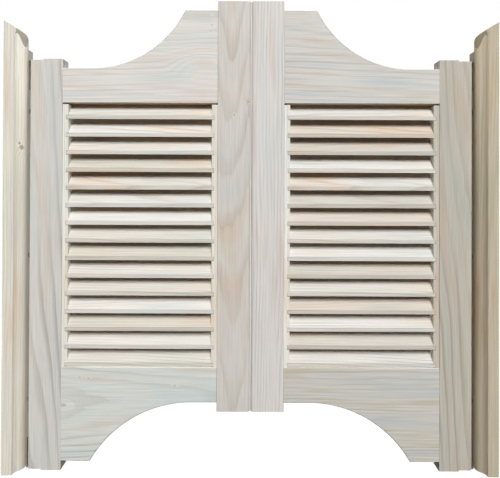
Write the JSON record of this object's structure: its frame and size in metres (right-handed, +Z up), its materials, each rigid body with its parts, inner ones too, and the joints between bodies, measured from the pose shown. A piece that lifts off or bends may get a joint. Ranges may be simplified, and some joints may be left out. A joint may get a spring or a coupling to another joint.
{
  "type": "cafe swinging doors",
  "caption": "Louvred cafe door pair for a doorway: bow-cut rails, leaves hung on moulded jamb posts by concealed spring pivots, each swinging both ways and coming back to the middle",
  "frame": {"origin": "bottom centre of the pair: the middle of the doorway's width and of the pair's depth, at the foot of the hinge stiles", "axes": "X runs along the doorway's width, to the right seen from the front; Y runs from the front to the back; Z is up"},
  "size_m": [0.963, 0.058, 0.937],
  "materials": {
    "post_wood": "sanded, unfinished",
    "stile_wood": "sanded, unfinished",
    "rail_wood": "sanded, unfinished",
    "strip_wood": "sanded, unfinished",
    "slat_wood": "planed, unfinished",
    "bent_steel": "zinc plated",
    "ground_steel": "ground",
    "barrel_steel": "zinc plated",
    "screw_steel": "zinc plated",
    "nylon": "moulded"
  },
  "bodies": {
    "root": {"left_post": "post_wood", "left_top_bracket": "bent_steel", "left_top_pin": "ground_steel", "left_bottom_bracket": "bent_steel", "left_bracket_screws": "screw_steel", "right_post": "post_wood", "right_top_bracket": "bent_steel", "right_top_pin": "ground_steel", "right_bottom_bracket": "bent_steel", "right_bracket_screws": "screw_steel"},
    "left_leaf": {"left_hinge_stile": "stile_wood", "left_meeting_stile": "stile_wood", "left_top_rail": "rail_wood", "left_bottom_rail": "rail_wood", "left_hinge_strip": "strip_wood", "left_meeting_strip": "strip_wood", "left_slat_01": "slat_wood", "left_slat_02": "slat_wood", "left_slat_03": "slat_wood", "left_slat_04": "slat_wood", "left_slat_05": "slat_wood", "left_slat_06": "slat_wood", "left_slat_07": "slat_wood", "left_slat_08": "slat_wood", "left_slat_09": "slat_wood", "left_slat_10": "slat_wood", "left_slat_11": "slat_wood", "left_slat_12": "slat_wood", "left_slat_13": "slat_wood", "left_slat_14": "slat_wood", "left_slat_15": "slat_wood", "left_top_bush": "nylon", "left_spring_barrel": "barrel_steel"},
    "right_leaf": {"right_hinge_stile": "stile_wood", "right_meeting_stile": "stile_wood", "right_top_rail": "rail_wood", "right_bottom_rail": "rail_wood", "right_hinge_strip": "strip_wood", "right_meeting_strip": "strip_wood", "right_slat_01": "slat_wood", "right_slat_02": "slat_wood", "right_slat_03": "slat_wood", "right_slat_04": "slat_wood", "right_slat_05": "slat_wood", "right_slat_06": "slat_wood", "right_slat_07": "slat_wood", "right_slat_08": "slat_wood", "right_slat_09": "slat_wood", "right_slat_10": "slat_wood", "right_slat_11": "slat_wood", "right_slat_12": "slat_wood", "right_slat_13": "slat_wood", "right_slat_14": "slat_wood", "right_slat_15": "slat_wood", "right_top_bush": "nylon", "right_spring_barrel": "barrel_steel"}
  },
  "joints": [
    {"name": "left_leaf_swing", "type": "hinge", "parent": "root", "child": "left_leaf", "pos_m": [-0.4235, 0.014, 0], "axis": [0, 0, 1], "range_deg": [-90, 90], "stiffness_Nm_per_rad": 0.6},
    {"name": "right_leaf_swing", "type": "hinge", "parent": "root", "child": "right_leaf", "pos_m": [0.4235, 0.014, 0], "axis": [0, 0, -1], "range_deg": [-90, 90], "stiffness_Nm_per_rad": 0.6}
  ]
}
